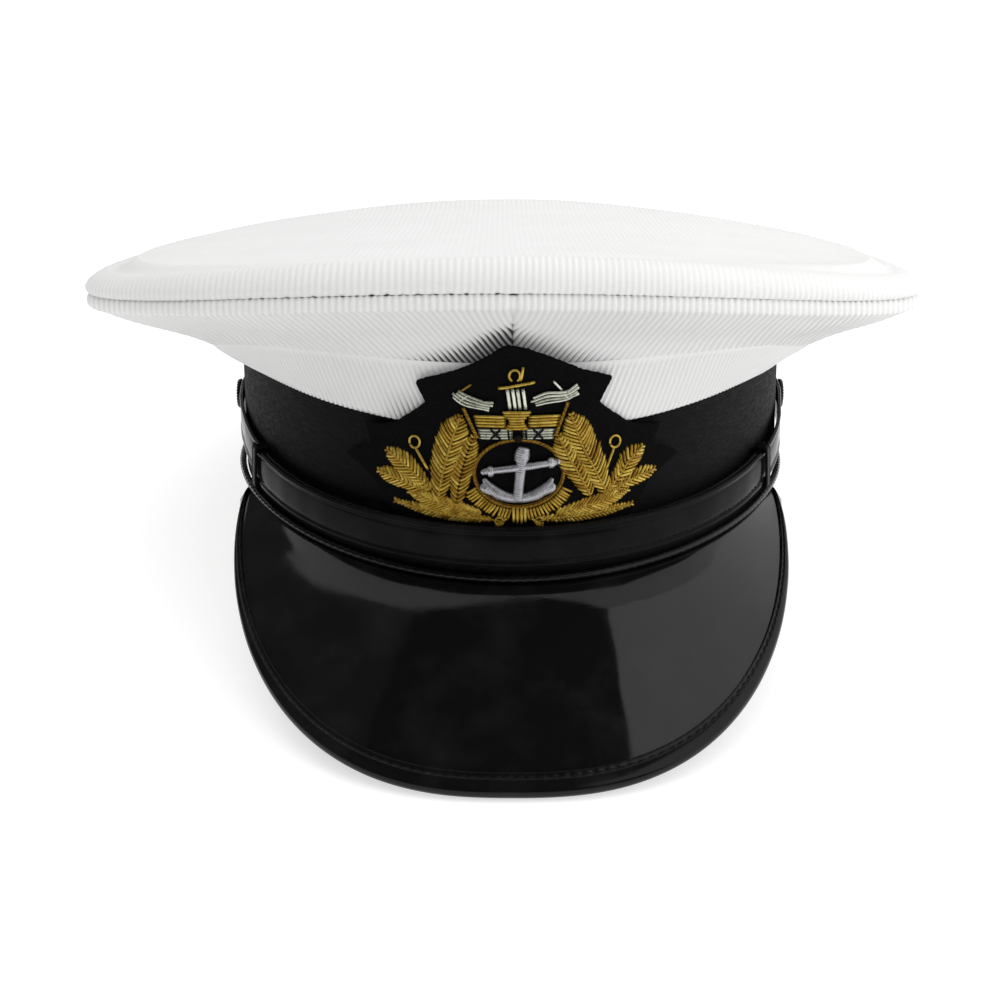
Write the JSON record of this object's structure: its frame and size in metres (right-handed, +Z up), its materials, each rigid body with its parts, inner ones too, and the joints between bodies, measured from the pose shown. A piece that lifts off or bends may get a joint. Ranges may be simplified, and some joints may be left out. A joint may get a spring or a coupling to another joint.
{
  "type": "military peaked cap",
  "caption": "Naval-style peaked cap with a white crown on a wired rim, a black band, a patent peak and chin strap, and an embroidered anchor badge.",
  "frame": {"origin": "bottom centre of the bounding box, on the table the cap stands on", "axes": "+Z up from the table, -Y the way the wearer faces, +X to the right in a view from the front; the cap is tipped back on its peak and the back of its band"},
  "size_m": [0.2662, 0.3054, 0.1363],
  "materials": {
    "white_cloth": "white corded cloth, matt",
    "mohair": "black ribbed mohair braid",
    "patent": "black patent, mirror gloss",
    "sweat_leather": "smooth dark leather",
    "badge_cloth": "black felt cloth",
    "lining_satin": "off-white satin lining",
    "board": "stiff fibre board",
    "wadding": "soft white wadding",
    "clear_film": "clear plastic film",
    "spring_steel": "bright spring steel",
    "dark_metal": "black lacquered metal",
    "gold_wire": "gold bullion wire",
    "silver_wire": "silver bullion wire"
  },
  "bodies": {
    "cap": {"sweatband": "sweat_leather", "sweatband_bow": "sweat_leather", "band_stiffener": "board", "mohair_band": "mohair", "band_welt": "patent", "crown_stand": "white_cloth", "stand_canvas": "board", "crown_quarter_front_right": "white_cloth", "crown_quarter_back_right": "white_cloth", "crown_quarter_back_left": "white_cloth", "crown_quarter_front_left": "white_cloth", "crown_top": "white_cloth", "rim_grommet": "spring_steel", "front_stay": "spring_steel", "crown_wadding": "wadding", "lining_side": "lining_satin", "lining_tip": "lining_satin", "sweat_shield": "clear_film", "peak_shell": "patent", "peak_lining": "badge_cloth", "peak_binding": "patent", "badge_backing": "badge_cloth", "badge_spray_left": "gold_wire", "badge_spray_right": "gold_wire", "badge_stems": "gold_wire", "badge_ring": "gold_wire", "badge_anchor": "silver_wire", "badge_coronet": "gold_wire", "badge_plume_left": "silver_wire", "badge_plume_right": "silver_wire", "badge_plume_centre": "silver_wire"},
    "chin_strap": {"chin_strap_inner": "patent", "chin_strap_outer": "patent"},
    "keeper_left": {"keeper_left": "patent"},
    "keeper_right": {"keeper_right": "patent"},
    "button_left": {"button_left": "dark_metal", "button_clip_left": "spring_steel"},
    "button_right": {"button_right": "dark_metal", "button_clip_right": "spring_steel"}
  },
  "joints": [
    {"name": "chin_strap_swing", "type": "hinge", "parent": "cap", "child": "chin_strap", "pos_m": [0, 0.01688, 0.04379], "axis": [-1, 0, 0], "range_deg": [0, 5]},
    {"name": "keeper_left_slide", "type": "slide", "parent": "chin_strap", "child": "keeper_left", "axis": [-0.408, 0.9128, -0.0195], "range_m": [-0.004, 0.004]},
    {"name": "keeper_right_slide", "type": "slide", "parent": "chin_strap", "child": "keeper_right", "axis": [0.408, 0.9128, -0.0195], "range_m": [-0.004, 0.004]},
    {"name": "button_left_spin", "type": "hinge", "parent": "cap", "child": "button_left", "pos_m": [-0.09, 0.01688, 0.04379], "axis": [-1, 0, 0], "continuous": true},
    {"name": "button_right_spin", "type": "hinge", "parent": "cap", "child": "button_right", "pos_m": [0.09, 0.01688, 0.04379], "axis": [1, 0, 0], "continuous": true}
  ]
}
